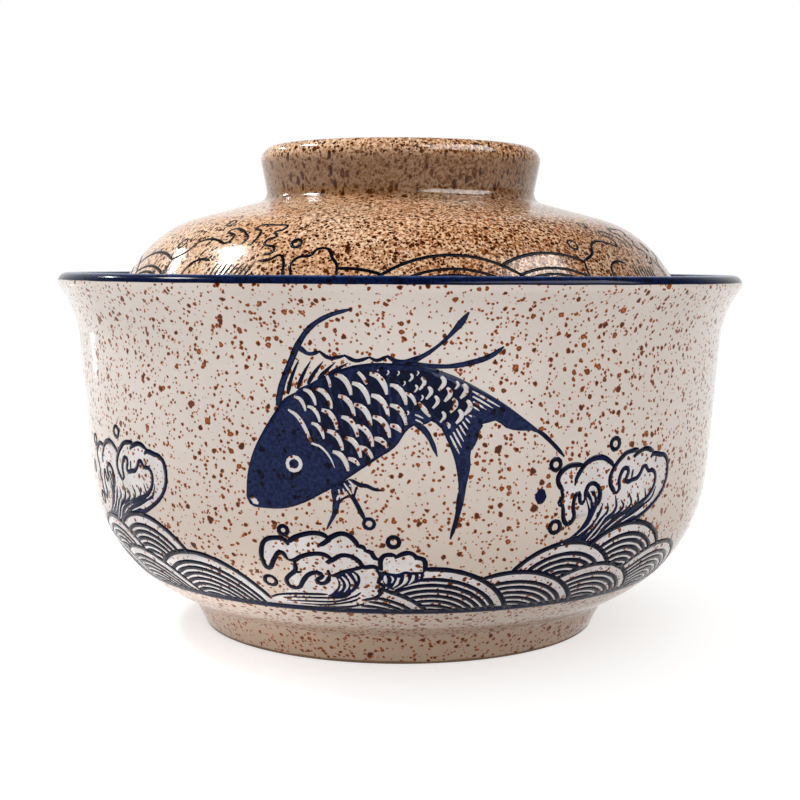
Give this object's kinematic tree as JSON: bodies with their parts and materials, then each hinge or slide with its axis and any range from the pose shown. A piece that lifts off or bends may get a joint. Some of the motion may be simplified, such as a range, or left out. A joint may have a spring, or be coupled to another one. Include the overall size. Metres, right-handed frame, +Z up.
{
  "type": "ramen bowl with lid",
  "caption": "Deep speckled stoneware noodle bowl on a foot ring, with a flared rim and a domed lid with a ring handle that rests inside the rim and lifts off.",
  "frame": {"origin": "centre of the foot ring on the plane it stands on", "axes": "+Z up along the axis of the bowl and lid, +Y away from the painted front"},
  "size_m": [0.18, 0.18, 0.1264],
  "materials": {
    "bowl_glaze": "gloss cream glaze with iron specks",
    "lid_glaze": "gloss tan glaze with dense iron specks",
    "cobalt_line": "cobalt brush line under gloss glaze",
    "bare_clay": "unglazed fired clay"
  },
  "bodies": {
    "bowl": {"bowl": "bowl_glaze"},
    "lid": {"lid": "lid_glaze"}
  },
  "joints": [
    {"name": "lid_lift", "type": "slide", "parent": "bowl", "child": "lid", "axis": [0, 0, 1], "range_m": [0, 0.14]}
  ]
}
